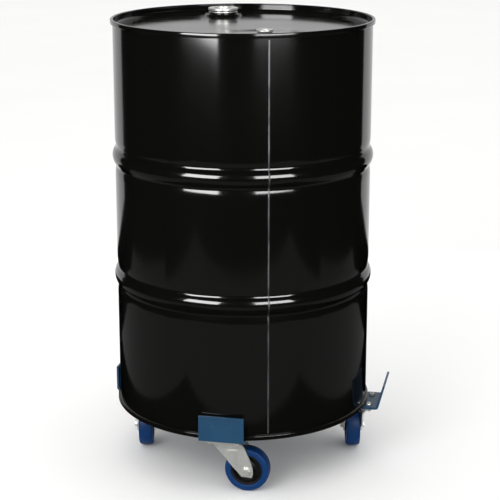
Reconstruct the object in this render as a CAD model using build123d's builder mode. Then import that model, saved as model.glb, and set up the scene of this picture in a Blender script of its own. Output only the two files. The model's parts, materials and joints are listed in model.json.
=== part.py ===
"""205 litre tight-head steel drum on a four-arm castered dolly, in millimetres.

Origin on the floor under the middle of the dolly's outline. +Z is up, +X runs along
the right arm and +Y along the back arm. The small bung and the side weld face -Y.
"""

import os
from math import acos, cos, degrees, radians, sin

from build123d import *

# drum
DRUM_HEIGHT = 880.0
BODY_RADIUS = 287.0  # outside of the plain body wall
SHEET = 1.0  # body, head and base are the same gauge
SEAM_GAP = 0.667  # sealing compound between two layers of the double seam
SEAM_HEIGHT = 10.0
SEAM_BEND = 1.6
HOOK_BEND = 1.2
HEAD_RECESS = 19.0  # rim down to the head panel
BASE_RECESS = 16.0
PANEL_BEND = 8.0
HOOP_SPACING = 275.0  # between the two rolling hoops
HOOP_RISE = 6.0
HOOP_CREST_RADIUS = 26.0
GROOVE_RADIUS = 13.0
GROOVE_DEPTH = 1.4
GROOVE_BLEND_RADIUS = 175.0
WELD_WIDTH = 3.6
WELD_RISE = 0.6
WELD_AZIMUTH = 22.6  # turned from -Y towards +X
WELD_MARGIN = 4.0  # weld stops this far short of each seam

# bungs
BUNG_AZIMUTH = 24.4
BUNG_INSET = 77.0  # body wall in to the middle of each bung
BOSS_RISE = 5.0
BOSS_BEND = 1.5
COLLAR_HEIGHT = 4.0  # head metal drawn up round the neck, above the boss
NECK_PROUD = 2.0  # neck stands this far above the collar
FLANGE_BASE = 3.0
FLANGE_GASKET = 1.0
GASKET = 2.0
THREAD_FIT = 0.08
SKIRT_WALL = 2.5
PLUG_EDGE = 1.2
LARGE_BORE_RADIUS = 29.0
LARGE_NECK_WALL = 4.0
LARGE_BOSS_LAND = 7.5  # flat top of the boss outside the neck
LARGE_BOSS_SLOPE = 4.5
LARGE_FLANGE_LAND = 4.0  # flange outside the neck, across its flats
LARGE_CAP_LIP = 1.5  # cap past the neck
LARGE_CAP = 5.5
LARGE_SKIRT = 13.0
LARGE_SOCKET_RADIUS = 21.0
LARGE_LUG = 9.0
SMALL_BORE_RADIUS = 12.8
SMALL_NECK_WALL = 2.8
SMALL_BOSS_LAND = 20.4
SMALL_BOSS_SLOPE = 9.0
SMALL_FLANGE_LAND = 13.4
SMALL_CAP_LIP = 1.9
SMALL_CAP = 4.5
SMALL_SKIRT = 11.0
SMALL_SOCKET_RADIUS = 8.5
SMALL_LUG = 4.5

# dolly
BAR_WIDTH = 100.0
BAR = 5.0
BAR_BEND = 2.5  # inside radius of each upturned end
UPRIGHT_HEIGHT = 55.0  # above the bars
RIM_PLAY = 13.0  # rim to each upright with the drum in the middle
FLARE = 15.0  # outward lean of the back and right uprights, degrees
DRUM_GAP = 0.5  # rim to the left and front uprights
WELD_BEAD = 1.6

# casters
CASTER_HEADROOM = 28.0  # top of the tyre up to the bars
CASTER_INSET = 56.0  # inner face of an upright in to the swivel axis
TRAIL = 47.0
PLATE_LENGTH = 105.0  # along the arm
PLATE_WIDTH = 85.0
PLATE = 3.0
PLATE_CORNER = 8.0
HOLE_PITCH_LONG = 75.0
HOLE_PITCH_WIDE = 60.0
BOLT_RADIUS = 4.0
BOLT_CLEARANCE = 0.4
BOLT_HEAD_RADIUS = 7.0
BOLT_HEAD = 4.4
BOLT_HEAD_RIM = 0.8
BOLT_PROUD = 2.0
SOCKET_AF = 5.0
NUT_AF = 13.0
NUT = 6.5
BALL_RADIUS = 3.0
BALL_PITCH_RADIUS = 24.0
BALL_COUNT = 22
RACE_DEPTH = 1.2
RACE_FIT = 0.05
KINGPIN_RADIUS = 6.0
KINGPIN_FIT = 0.1
KINGPIN_HEAD_RADIUS = 8.0
KINGPIN_FLANGE_RADIUS = 14.0
KINGPIN_FLANGE = 3.0
SWIVEL_GAP = 0.3
CROWN_RADIUS = 34.0
FORK_SHEET = 3.0
FORK_GAP = 2.5  # tyre to each leg
FORK_SHOULDER = 8.0  # crown stands out this far past each leg
FORK_SHOULDER_DROP = 17.0
FORK_BEND = 5.0
NUT_CLEARANCE_RADIUS = 36.0
NUT_CLEARANCE_DROP = 6.0
RIB_WIDTH = 25.0
RIB_RISE = 1.5
RIB_OFFSET = 15.0  # ahead of the swivel axis, towards the axle
WHEEL_RADIUS = 50.0
TYRE_WIDTH = 32.0
TREAD_CROWN = 1.0
SHOULDER = 5.0
RIM_RADIUS = 35.0
RIM = 4.0
RIM_INSET = 2.0  # edge of the tyre in to the edge of the hub rim
WEB = 8.0
HUB_RADIUS = 14.0
HUB_END_GAP = 0.5
BUSH_RADIUS = 8.0
BUSH_FIT = 0.08
AXLE_RADIUS = 5.0
AXLE_FLANGE_RADIUS = 10.0
AXLE_FLANGE = 1.6
AXLE_AF = 14.0
AXLE_HEAD = 4.5
AXLE_PROUD = 2.0
TRAIL_ANGLES = {"front": 0.0, "right": 101.5, "back": 200.0, "left": 281.5}
ARM_ANGLES = {"front": -90.0, "right": 0.0, "back": 90.0, "left": 180.0}

# levels and positions that follow
caster_height = 2 * WHEEL_RADIUS + CASTER_HEADROOM
bar_top = caster_height + BAR
rim_top = bar_top + DRUM_HEIGHT
wall_mid = BODY_RADIUS - SHEET / 2
layer = SHEET + SEAM_GAP
rim_radius = BODY_RADIUS + 3 * layer
half_clear = rim_radius + RIM_PLAY
caster_radius = half_clear - CASTER_INSET
upright_length = UPRIGHT_HEIGHT + BAR / 2  # every upright has the same cut length
flare_sine = sin(radians(FLARE))
flare_cosine = cos(radians(FLARE))
flare_reach = upright_length * flare_sine + (flare_cosine - 1) * BAR / 2
dolly_x = -flare_reach / 2
dolly_y = -flare_reach / 2
drum_x = dolly_x - (RIM_PLAY - DRUM_GAP)
drum_y = dolly_y - (RIM_PLAY - DRUM_GAP)
drum_axis = Axis((drum_x, drum_y, 0), (0, 0, 1))
head_z = rim_top - HEAD_RECESS - SHEET / 2
base_z = bar_top + BASE_RECESS + SHEET / 2


def standing(x, y, angle=0.0):
    """Vertical plane through (x, y): local x points along angle, local y points up."""
    along = Vector(cos(radians(angle)), sin(radians(angle)), 0)
    return Plane(origin=(x, y, 0), x_dir=along, z_dir=along.cross(Vector(0, 0, 1)))


def around(azimuth, radius):
    """Point at radius from the drum axis, turned from -Y towards +X."""
    turn = radians(azimuth)
    return drum_x + radius * sin(turn), drum_y - radius * cos(turn)


drum_section = standing(drum_x, drum_y)
bung_offset = BODY_RADIUS - BUNG_INSET
small_x, small_y = around(BUNG_AZIMUTH, bung_offset)
large_x, large_y = around(BUNG_AZIMUTH + 180, bung_offset)
small_neck = SMALL_BORE_RADIUS + SMALL_NECK_WALL
large_neck = LARGE_BORE_RADIUS + LARGE_NECK_WALL


# ---------------------------------------------------------------- drum shell
rise = HOOP_RISE + GROOVE_DEPTH
hoop_turn = degrees(acos(1 - rise / (HOOP_CREST_RADIUS + GROOVE_RADIUS)))
blend_turn = degrees(acos(1 - GROOVE_DEPTH / (GROOVE_BLEND_RADIUS + GROOVE_RADIUS)))
hoop_half = (GROOVE_BLEND_RADIUS + GROOVE_RADIUS) * sin(radians(blend_turn))
hoop_half += (HOOP_CREST_RADIUS + GROOVE_RADIUS) * sin(radians(hoop_turn))
hoop_z = [bar_top + (DRUM_HEIGHT + s * HOOP_SPACING) / 2 for s in (-1, 1)]


def wall_line(bottom, top, out=0.0):
    """Body wall from bottom to top with both hoops, shifted out from mid-wall."""
    at = (wall_mid + out, bottom)
    for z in hoop_z:
        start = (wall_mid + out, z - hoop_half)
        Line(at, start)
        a = JernArc(start, (0, 1), GROOVE_BLEND_RADIUS + out, blend_turn)
        b = JernArc(a @ 1, a % 1, GROOVE_RADIUS - out, -blend_turn - hoop_turn)
        c = JernArc(b @ 1, b % 1, HOOP_CREST_RADIUS + out, 2 * hoop_turn)
        d = JernArc(c @ 1, c % 1, GROOVE_RADIUS - out, -blend_turn - hoop_turn)
        e = JernArc(d @ 1, d % 1, GROOVE_BLEND_RADIUS + out, blend_turn)
        at = (wall_mid + out, (e @ 1).Y)
    Line(at, (wall_mid + out, top))


turn_low = bar_top + SHEET / 2 + layer
turn_high = rim_top - SHEET / 2 - layer
hook_low = bar_top + SEAM_HEIGHT - SHEET - SEAM_GAP
hook_high = rim_top - SEAM_HEIGHT + SHEET + SEAM_GAP
hook_radius = wall_mid + 2 * layer

with BuildPart() as drum_shell:
    with BuildSketch(drum_section):
        with BuildLine():
            wall_line(turn_low + SEAM_HEIGHT, turn_high - SEAM_HEIGHT)
            FilletPolyline(
                (wall_mid, turn_high - SEAM_HEIGHT),
                (wall_mid, turn_high),
                (hook_radius, turn_high),
                (hook_radius, hook_high),
                radius=HOOK_BEND,
            )
            FilletPolyline(
                (wall_mid, turn_low + SEAM_HEIGHT),
                (wall_mid, turn_low),
                (hook_radius, turn_low),
                (hook_radius, hook_low),
                radius=HOOK_BEND,
            )
        trace(line_width=SHEET)
    revolve(axis=drum_axis)


# ---------------------------------------------------------------- head and base
chuck_radius = BODY_RADIUS - SHEET * 1.5
cover_radius = wall_mid + layer
outer_radius = rim_radius - SHEET / 2


def head_line(panel_z, rim_z, up):
    """Half section of a drum end: panel, chuck wall, over the seam and tucked under."""
    middle = rim_z - up * SEAM_HEIGHT / 2
    over = rim_z - up * SHEET / 2
    under = rim_z - up * (SEAM_HEIGHT - SHEET / 2)
    tuck = over - up * (layer + SHEET / 2 + SEAM_GAP)
    FilletPolyline((0, panel_z), (chuck_radius, panel_z), (chuck_radius, middle), radius=PANEL_BEND)
    FilletPolyline(
        (chuck_radius, middle),
        (chuck_radius, over),
        (outer_radius, over),
        (outer_radius, middle),
        radius=SEAM_BEND,
    )
    FilletPolyline(
        (outer_radius, middle),
        (outer_radius, under),
        (cover_radius, under),
        (cover_radius, tuck),
        radius=HOOK_BEND,
    )


boss_z = head_z + BOSS_RISE
collar_top = boss_z + SHEET / 2 + COLLAR_HEIGHT
neck_top = collar_top + NECK_PROUD
bungs = [
    (small_x, small_y, small_neck, SMALL_BOSS_LAND, SMALL_BOSS_SLOPE),
    (large_x, large_y, large_neck, LARGE_BOSS_LAND, LARGE_BOSS_SLOPE),
]

with BuildPart() as drum_head:
    with BuildSketch(drum_section):
        with BuildLine():
            head_line(head_z, rim_top, 1)
        trace(line_width=SHEET)
    revolve(axis=drum_axis)
    for x, y, neck, land, slope in bungs:
        boss = neck + land
        base = boss + slope
        reach = base + 2 * BOSS_BEND
        with Locations((x, y, head_z)):
            Cylinder(reach, 2 * SHEET, mode=Mode.SUBTRACT)
        with BuildSketch(standing(x, y)):
            with BuildLine():
                FilletPolyline(
                    (reach, head_z),
                    (base, head_z),
                    (boss, boss_z),
                    (neck + SHEET / 2, boss_z),
                    (neck + SHEET / 2, collar_top),
                    radius=BOSS_BEND,
                )
            trace(line_width=SHEET)
        revolve(axis=Axis((x, y, 0), (0, 0, 1)))

with BuildPart() as drum_base:
    with BuildSketch(drum_section):
        with BuildLine():
            head_line(base_z, bar_top, -1)
        trace(line_width=SHEET)
    revolve(axis=drum_axis)


# ---------------------------------------------------------------- seams and side weld
seam_depth = SEAM_HEIGHT - 2 * SHEET
seam_middle = BODY_RADIUS - SHEET + (rim_radius - BODY_RADIUS) / 2

with BuildPart() as top_seam_sealant:
    with BuildSketch(drum_section):
        with Locations((seam_middle, rim_top - SEAM_HEIGHT / 2)):
            Rectangle(rim_radius - BODY_RADIUS, seam_depth)
    revolve(axis=drum_axis)
    add(drum_head.part, mode=Mode.SUBTRACT)
    add(drum_shell.part, mode=Mode.SUBTRACT)

with BuildPart() as bottom_seam_sealant:
    with BuildSketch(drum_section):
        with Locations((seam_middle, bar_top + SEAM_HEIGHT / 2)):
            Rectangle(rim_radius - BODY_RADIUS, seam_depth)
    revolve(axis=drum_axis)
    add(drum_base.part, mode=Mode.SUBTRACT)
    add(drum_shell.part, mode=Mode.SUBTRACT)

weld_low = bar_top + SEAM_HEIGHT + WELD_MARGIN
weld_high = rim_top - SEAM_HEIGHT - WELD_MARGIN
weld_turn = degrees(WELD_WIDTH / BODY_RADIUS)

with BuildPart() as side_weld:
    with BuildSketch(standing(drum_x, drum_y, WELD_AZIMUTH - 90 - weld_turn / 2)):
        with BuildLine():
            wall_line(weld_low, weld_high, (SHEET + WELD_RISE) / 2)
        trace(line_width=WELD_RISE)
    revolve(axis=drum_axis, revolution_arc=weld_turn)


# ---------------------------------------------------------------- bung flanges and plugs
flange_top = boss_z - SHEET / 2 - FLANGE_GASKET


def bung_flange(x, y, bore, wall, land):
    """Threaded flange held under the head, its neck coming up through the collar."""
    with BuildPart() as flange:
        with BuildSketch(Plane.XY.offset(flange_top - FLANGE_BASE)):
            with Locations((x, y)):
                RegularPolygon(bore + wall + land, 8, major_radius=False)
        extrude(amount=FLANGE_BASE)
        with BuildSketch(Plane.XY.offset(flange_top)):
            with Locations((x, y)):
                Circle(bore + wall)
        extrude(amount=neck_top - flange_top)
        with BuildSketch(Plane.XY.offset(flange_top - FLANGE_BASE)):
            with Locations((x, y)):
                Circle(bore)
        extrude(amount=neck_top - flange_top + FLANGE_BASE, mode=Mode.SUBTRACT)
    return flange


def ring(x, y, low, high, inside, outside):
    """Flat ring between two heights."""
    with BuildPart() as washer:
        with BuildSketch(Plane.XY.offset(low)):
            with Locations((x, y)):
                Circle(outside)
                Circle(inside, mode=Mode.SUBTRACT)
        extrude(amount=high - low)
    return washer


def bung_plug(x, y, bore, cap_radius, cap, skirt, socket, lug):
    """Plug with a round cap, a threaded skirt and a two-lug socket for the bung key."""
    cap_base = neck_top + GASKET
    floor = cap_base - skirt + SKIRT_WALL
    top = cap_base + cap
    with BuildPart() as plug:
        with BuildSketch(Plane.XY.offset(cap_base - skirt)):
            with Locations((x, y)):
                Circle(bore - THREAD_FIT)
        extrude(amount=skirt)
        with BuildSketch(Plane.XY.offset(cap_base)):
            with Locations((x, y)):
                Circle(cap_radius)
        extrude(amount=cap)
        edge = plug.edges().filter_by(GeomType.CIRCLE).group_by(Axis.Z)[-1]
        fillet(edge, PLUG_EDGE)
        with BuildSketch(Plane.XY.offset(floor)):
            with Locations((x, y)):
                Circle(socket)
        extrude(amount=top - floor, mode=Mode.SUBTRACT)
        with BuildSketch(Plane.XY.offset(floor)):
            with Locations((x - socket, y), (x + socket, y)):
                Rectangle(lug * 1.6, lug)
            with Locations((x, y)):
                Circle(socket + SKIRT_WALL / 2, mode=Mode.INTERSECT)
        extrude(amount=cap_base - floor)
    return plug


large_land = large_neck + LARGE_FLANGE_LAND
small_land = small_neck + SMALL_FLANGE_LAND
large_bung_flange = bung_flange(
    large_x, large_y, LARGE_BORE_RADIUS, LARGE_NECK_WALL, LARGE_FLANGE_LAND
)
small_bung_flange = bung_flange(
    small_x, small_y, SMALL_BORE_RADIUS, SMALL_NECK_WALL, SMALL_FLANGE_LAND
)
large_flange_gasket = ring(
    large_x, large_y, flange_top, flange_top + FLANGE_GASKET, large_neck, large_land
)
small_flange_gasket = ring(
    small_x, small_y, flange_top, flange_top + FLANGE_GASKET, small_neck, small_land
)
large_plug_gasket = ring(
    large_x, large_y, neck_top, neck_top + GASKET, LARGE_BORE_RADIUS, large_neck
)
small_plug_gasket = ring(
    small_x, small_y, neck_top, neck_top + GASKET, SMALL_BORE_RADIUS, small_neck
)
large_bung_plug = bung_plug(
    large_x,
    large_y,
    LARGE_BORE_RADIUS,
    large_neck + LARGE_CAP_LIP,
    LARGE_CAP,
    LARGE_SKIRT,
    LARGE_SOCKET_RADIUS,
    LARGE_LUG,
)
small_bung_plug = bung_plug(
    small_x,
    small_y,
    SMALL_BORE_RADIUS,
    small_neck + SMALL_CAP_LIP,
    SMALL_CAP,
    SMALL_SKIRT,
    SMALL_SOCKET_RADIUS,
    SMALL_LUG,
)


# ---------------------------------------------------------------- dolly bars
bar_mid = bar_top - BAR / 2
corner = half_clear + BAR / 2
bend = BAR_BEND + BAR / 2
square_top = (corner, bar_mid + upright_length)
flare_top = (corner + upright_length * flare_sine, bar_mid + upright_length * flare_cosine)


def arm_holes(arms):
    """Caster bolt positions on the named arms."""
    points = []
    for arm in arms:
        turn = radians(ARM_ANGLES[arm])
        for along in (caster_radius - HOLE_PITCH_LONG / 2, caster_radius + HOLE_PITCH_LONG / 2):
            for across in (-HOLE_PITCH_WIDE / 2, HOLE_PITCH_WIDE / 2):
                x = dolly_x + along * cos(turn) - across * sin(turn)
                y = dolly_y + along * sin(turn) + across * cos(turn)
                points.append((x, y))
    return points


def bar(angle, line, arms):
    """Flat bar bent along line, drilled for the casters on its arms."""
    with BuildPart() as strip:
        with BuildSketch(standing(dolly_x, dolly_y, angle)):
            with BuildLine():
                FilletPolyline(*line, radius=bend)
            trace(line_width=BAR)
        extrude(amount=BAR_WIDTH / 2, both=True)
        with BuildSketch(Plane.XY.offset(caster_height)):
            with Locations(arm_holes(arms)):
                Circle(BOLT_RADIUS + BOLT_CLEARANCE)
        extrude(amount=BAR, mode=Mode.SUBTRACT)
    return strip


long_bar = bar(
    0,
    [(-corner, square_top[1]), (-corner, bar_mid), (corner, bar_mid), flare_top],
    ["left", "right"],
)
front_bar = bar(
    ARM_ANGLES["front"],
    [(BAR_WIDTH / 2, bar_mid), (corner, bar_mid), square_top],
    ["front"],
)
back_bar = bar(
    ARM_ANGLES["back"],
    [(BAR_WIDTH / 2, bar_mid), (corner, bar_mid), flare_top],
    ["back"],
)

with BuildPart() as centre_welds:
    with BuildSketch(standing(dolly_x - BAR_WIDTH / 2 + WELD_BEAD, dolly_y, 90)):
        for side in (-1, 1):
            with Locations((side * BAR_WIDTH / 2, bar_top), (side * BAR_WIDTH / 2, caster_height)):
                Ellipse(3 * WELD_BEAD, WELD_BEAD)
        with Locations((0, bar_mid)):
            Rectangle(2 * BAR_WIDTH, BAR, mode=Mode.SUBTRACT)
    extrude(amount=BAR_WIDTH - 2 * WELD_BEAD)


# ---------------------------------------------------------------- caster fasteners
plate_low = caster_height - PLATE
nut_low = plate_low - NUT
all_holes = arm_holes(ARM_ANGLES)

with BuildPart() as caster_bolts:
    with BuildSketch(Plane.XY.offset(nut_low - BOLT_PROUD)):
        with Locations(all_holes):
            Circle(BOLT_RADIUS)
    extrude(amount=bar_top - nut_low + BOLT_PROUD)
    for x, y in all_holes:
        with BuildSketch(standing(x, y)):
            with BuildLine():
                Line((0, bar_top), (BOLT_HEAD_RADIUS, bar_top))
                Line((BOLT_HEAD_RADIUS, bar_top), (BOLT_HEAD_RADIUS, bar_top + BOLT_HEAD_RIM))
                ThreePointArc(
                    (BOLT_HEAD_RADIUS, bar_top + BOLT_HEAD_RIM),
                    (BOLT_HEAD_RADIUS * 0.8, bar_top + BOLT_HEAD * 0.75),
                    (BOLT_HEAD_RADIUS * 0.45, bar_top + BOLT_HEAD),
                )
                Line((BOLT_HEAD_RADIUS * 0.45, bar_top + BOLT_HEAD), (0, bar_top + BOLT_HEAD))
                Line((0, bar_top + BOLT_HEAD), (0, bar_top))
            make_face()
        revolve(axis=Axis((x, y, 0), (0, 0, 1)))
    with BuildSketch(Plane.XY.offset(bar_top + BOLT_HEAD)):
        with Locations(all_holes):
            RegularPolygon(SOCKET_AF / 2, 6, major_radius=False)
    extrude(amount=-BOLT_HEAD * 0.6, mode=Mode.SUBTRACT)

with BuildPart() as caster_nuts:
    with BuildSketch(Plane.XY.offset(nut_low)):
        with Locations(all_holes):
            RegularPolygon(NUT_AF / 2, 6, major_radius=False)
        with Locations(all_holes):
            Circle(BOLT_RADIUS, mode=Mode.SUBTRACT)
    extrude(amount=NUT)


# ---------------------------------------------------------------- one caster, trailing +X
ball_z = plate_low - BALL_RADIUS + RACE_DEPTH
crown_top = ball_z - BALL_RADIUS + RACE_DEPTH
crown_low = crown_top - FORK_SHEET
pin_flange_top = crown_low - SWIVEL_GAP

with BuildPart() as caster_plate:
    with BuildSketch(Plane.XY.offset(plate_low)):
        RectangleRounded(PLATE_LENGTH, PLATE_WIDTH, PLATE_CORNER)
        with GridLocations(HOLE_PITCH_LONG, HOLE_PITCH_WIDE, 2, 2):
            Circle(BOLT_RADIUS + BOLT_CLEARANCE, mode=Mode.SUBTRACT)
    extrude(amount=PLATE)
    with Locations((0, 0, ball_z)):
        Torus(BALL_PITCH_RADIUS, BALL_RADIUS, mode=Mode.SUBTRACT)

with BuildPart() as kingpin:
    with BuildSketch(Plane.XZ):
        with BuildLine():
            Polyline(
                (0, pin_flange_top - KINGPIN_FLANGE),
                (KINGPIN_FLANGE_RADIUS, pin_flange_top - KINGPIN_FLANGE),
                (KINGPIN_FLANGE_RADIUS, pin_flange_top),
                (KINGPIN_RADIUS, pin_flange_top),
                (KINGPIN_RADIUS, caster_height - PLATE / 2),
                (KINGPIN_HEAD_RADIUS, caster_height),
                (0, caster_height),
                close=True,
            )
        make_face()
    revolve(axis=Axis.Z)

with BuildPart() as plate_hole:
    add(caster_plate.part)
    add(kingpin.part, mode=Mode.SUBTRACT)

with BuildPart() as swivel_balls:
    with Locations((0, 0, ball_z)):
        with PolarLocations(BALL_PITCH_RADIUS, BALL_COUNT):
            Sphere(BALL_RADIUS)

fork_inside = TYRE_WIDTH / 2 + FORK_GAP
leg_mid = fork_inside + FORK_SHEET / 2
shoulder_mid = leg_mid + FORK_SHOULDER
crown_mid = crown_top - FORK_SHEET / 2
leg_foot = WHEEL_RADIUS - 0.5 * RIM_RADIUS

with BuildPart() as fork:
    with BuildSketch(Plane.YZ):
        with BuildLine():
            FilletPolyline(
                (-leg_mid, leg_foot),
                (-leg_mid, crown_mid - FORK_SHOULDER_DROP),
                (-shoulder_mid, crown_mid),
                (shoulder_mid, crown_mid),
                (leg_mid, crown_mid - FORK_SHOULDER_DROP),
                (leg_mid, leg_foot),
                radius=FORK_BEND,
            )
        trace(line_width=FORK_SHEET)
    extrude(amount=2 * WHEEL_RADIUS, both=True)
    rib_radius = (RIB_WIDTH**2 / 4 + RIB_RISE**2) / (2 * RIB_RISE)
    rib_depth = leg_mid + FORK_SHEET / 2 + RIB_RISE - rib_radius
    rib_height = crown_mid - FORK_SHOULDER_DROP - FORK_BEND - leg_foot
    rib_cuts = [(0, leg_mid, Mode.ADD), (FORK_SHEET, fork_inside, Mode.SUBTRACT)]
    for side in (-1, 1):
        for shift, face, mode in rib_cuts:
            with BuildSketch(Plane.XY.offset(leg_foot)):
                with Locations((RIB_OFFSET, side * (rib_depth - shift))):
                    Circle(rib_radius)
                with Locations((RIB_OFFSET, side * (face + RIB_WIDTH))):
                    Rectangle(2 * RIB_WIDTH, 2 * RIB_WIDTH, mode=Mode.INTERSECT)
            extrude(amount=rib_height, mode=mode)
    with BuildSketch(Plane.XZ):
        with BuildLine():
            Polyline(
                (CROWN_RADIUS, crown_top),
                (-CROWN_RADIUS, crown_top),
                (-CROWN_RADIUS + 1, crown_low),
                (-CROWN_RADIUS + 6, crown_low - 7),
                (TRAIL - 10, WHEEL_RADIUS - 13),
                (TRAIL + 12, WHEEL_RADIUS - 14.5),
            )
            Spline(
                (TRAIL + 12, WHEEL_RADIUS - 14.5),
                (TRAIL + 15.5, WHEEL_RADIUS - 4),
                (TRAIL + 10.5, WHEEL_RADIUS + 21),
                (TRAIL - 6, WHEEL_RADIUS + 59),
                (CROWN_RADIUS, crown_top),
                tangents=[(1.0, 0.9), (-0.6, 1.0)],
            )
        make_face()
    extrude(amount=shoulder_mid + FORK_SHEET, both=True, mode=Mode.INTERSECT)
    with BuildSketch(Plane.XY.offset(crown_low - NUT_CLEARANCE_DROP)):
        Circle(2 * WHEEL_RADIUS)
        Circle(NUT_CLEARANCE_RADIUS, mode=Mode.SUBTRACT)
    extrude(amount=NUT_CLEARANCE_DROP + 2 * FORK_SHEET, mode=Mode.SUBTRACT)
    with BuildSketch(Plane.XY.offset(crown_low)):
        Circle(CROWN_RADIUS)
    extrude(amount=FORK_SHEET)
    with BuildSketch(Plane.XY.offset(crown_low)):
        Circle(KINGPIN_RADIUS + KINGPIN_FIT)
    extrude(amount=FORK_SHEET, mode=Mode.SUBTRACT)
    with Locations((0, 0, ball_z)):
        Torus(BALL_PITCH_RADIUS, BALL_RADIUS + RACE_FIT, mode=Mode.SUBTRACT)
    with BuildSketch(Plane.XZ):
        with Locations((TRAIL, WHEEL_RADIUS)):
            Circle(AXLE_RADIUS)
    extrude(amount=2 * leg_mid, both=True, mode=Mode.SUBTRACT)

leg_outside = fork_inside + FORK_SHEET
axle = Plane.XZ

with BuildPart() as axle_bolt:
    with BuildSketch(axle.offset(leg_outside + AXLE_FLANGE)):
        with Locations((TRAIL, WHEEL_RADIUS)):
            RegularPolygon(AXLE_AF / 2, 6, major_radius=False)
    extrude(amount=AXLE_HEAD)
    with BuildSketch(axle.offset(leg_outside)):
        with Locations((TRAIL, WHEEL_RADIUS)):
            Circle(AXLE_FLANGE_RADIUS)
    extrude(amount=AXLE_FLANGE)
    with BuildSketch(axle.offset(leg_outside)):
        with Locations((TRAIL, WHEEL_RADIUS)):
            Circle(AXLE_RADIUS)
    extrude(amount=-2 * leg_outside - AXLE_FLANGE - AXLE_HEAD - AXLE_PROUD)

with BuildPart() as axle_nut:
    with BuildSketch(axle.offset(-leg_outside)):
        with Locations((TRAIL, WHEEL_RADIUS)):
            Circle(AXLE_FLANGE_RADIUS)
    extrude(amount=-AXLE_FLANGE)
    with BuildSketch(axle.offset(-leg_outside - AXLE_FLANGE)):
        with Locations((TRAIL, WHEEL_RADIUS)):
            RegularPolygon(AXLE_AF / 2, 6, major_radius=False)
    extrude(amount=-AXLE_HEAD)
    with BuildSketch(axle.offset(-leg_outside)):
        with Locations((TRAIL, WHEEL_RADIUS)):
            Circle(AXLE_RADIUS)
    extrude(amount=-AXLE_FLANGE - AXLE_HEAD, mode=Mode.SUBTRACT)

with BuildPart() as axle_bush:
    with BuildSketch(axle):
        with Locations((TRAIL, WHEEL_RADIUS)):
            Circle(BUSH_RADIUS)
            Circle(AXLE_RADIUS, mode=Mode.SUBTRACT)
    extrude(amount=fork_inside, both=True)

wheel_axis = Axis((TRAIL, 0, WHEEL_RADIUS), (0, 1, 0))
wheel_section = Plane(origin=(TRAIL, 0, WHEEL_RADIUS), x_dir=(0, 1, 0), z_dir=(1, 0, 0))
hub_half = fork_inside - HUB_END_GAP
rim_half = TYRE_WIDTH / 2 - RIM_INSET
bore = BUSH_RADIUS + BUSH_FIT

with BuildPart() as hub:
    with BuildSketch(wheel_section):
        with BuildLine():
            Polyline(
                (0, bore),
                (hub_half, bore),
                (hub_half, HUB_RADIUS - 1),
                (WEB, HUB_RADIUS + 1),
                (WEB / 2, HUB_RADIUS + 5),
                (WEB / 2, RIM_RADIUS - RIM - 4),
                (rim_half, RIM_RADIUS - RIM),
                (rim_half, RIM_RADIUS),
                (0, RIM_RADIUS),
            )
            Line((0, RIM_RADIUS), (0, bore))
        make_face()
        mirror(about=Plane.YZ)
    revolve(axis=wheel_axis)

tyre_half = TYRE_WIDTH / 2
with BuildPart() as tyre:
    with BuildSketch(wheel_section):
        with BuildLine():
            Polyline(
                (0, RIM_RADIUS),
                (rim_half, RIM_RADIUS),
                (tyre_half - 0.5, RIM_RADIUS + 1),
                (tyre_half, WHEEL_RADIUS - SHOULDER - TREAD_CROWN),
            )
            ThreePointArc(
                (tyre_half, WHEEL_RADIUS - SHOULDER - TREAD_CROWN),
                (tyre_half - 1.4, WHEEL_RADIUS - TREAD_CROWN - 1.4),
                (tyre_half - SHOULDER, WHEEL_RADIUS - TREAD_CROWN),
            )
            ThreePointArc(
                (tyre_half - SHOULDER, WHEEL_RADIUS - TREAD_CROWN),
                (tyre_half / 3, WHEEL_RADIUS - TREAD_CROWN * 0.22),
                (0, WHEEL_RADIUS),
            )
            Line((0, WHEEL_RADIUS), (0, RIM_RADIUS))
        make_face()
        mirror(about=Plane.YZ)
    revolve(axis=wheel_axis)


# ---------------------------------------------------------------- names and files
nodes = {
    "drum_shell": drum_shell,
    "drum_head": drum_head,
    "drum_base": drum_base,
    "top_seam_sealant": top_seam_sealant,
    "bottom_seam_sealant": bottom_seam_sealant,
    "side_weld": side_weld,
    "large_bung_flange": large_bung_flange,
    "large_flange_gasket": large_flange_gasket,
    "large_plug_gasket": large_plug_gasket,
    "large_bung_plug": large_bung_plug,
    "small_bung_flange": small_bung_flange,
    "small_flange_gasket": small_flange_gasket,
    "small_plug_gasket": small_plug_gasket,
    "small_bung_plug": small_bung_plug,
    "long_bar": long_bar,
    "front_bar": front_bar,
    "back_bar": back_bar,
    "centre_welds": centre_welds,
    "caster_bolts": caster_bolts,
    "caster_nuts": caster_nuts,
}
placed = {name: node.part for name, node in nodes.items()}

fixed = {"plate": plate_hole, "kingpin": kingpin, "swivel_balls": swivel_balls}
swivelling = {
    "fork": fork,
    "axle_bolt": axle_bolt,
    "axle_nut": axle_nut,
    "axle_bush": axle_bush,
    "hub": hub,
    "tyre": tyre,
}
for arm, angle in ARM_ANGLES.items():
    x = dolly_x + caster_radius * cos(radians(angle))
    y = dolly_y + caster_radius * sin(radians(angle))
    for piece, shape in fixed.items():
        placed[f"{arm}_{piece}"] = shape.part.moved(Location((x, y, 0), (0, 0, angle)))
    for piece, shape in swivelling.items():
        turn = TRAIL_ANGLES[arm]
        placed[f"{arm}_{piece}"] = shape.part.moved(Location((x, y, 0), (0, 0, turn)))

os.makedirs("parts", exist_ok=True)
for name, shape in placed.items():
    shape.label = name
    export_step(shape, f"parts/{name}.step")
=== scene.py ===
"""Tight-head steel drum standing on a four-arm castered dolly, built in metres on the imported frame."""

import json
from math import acos, atan2, cos, exp, hypot, pi, radians, sin, tan

import bmesh
import bpy
from mathutils import Matrix, Vector
from mathutils.geometry import delaunay_2d_cdt


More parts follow.
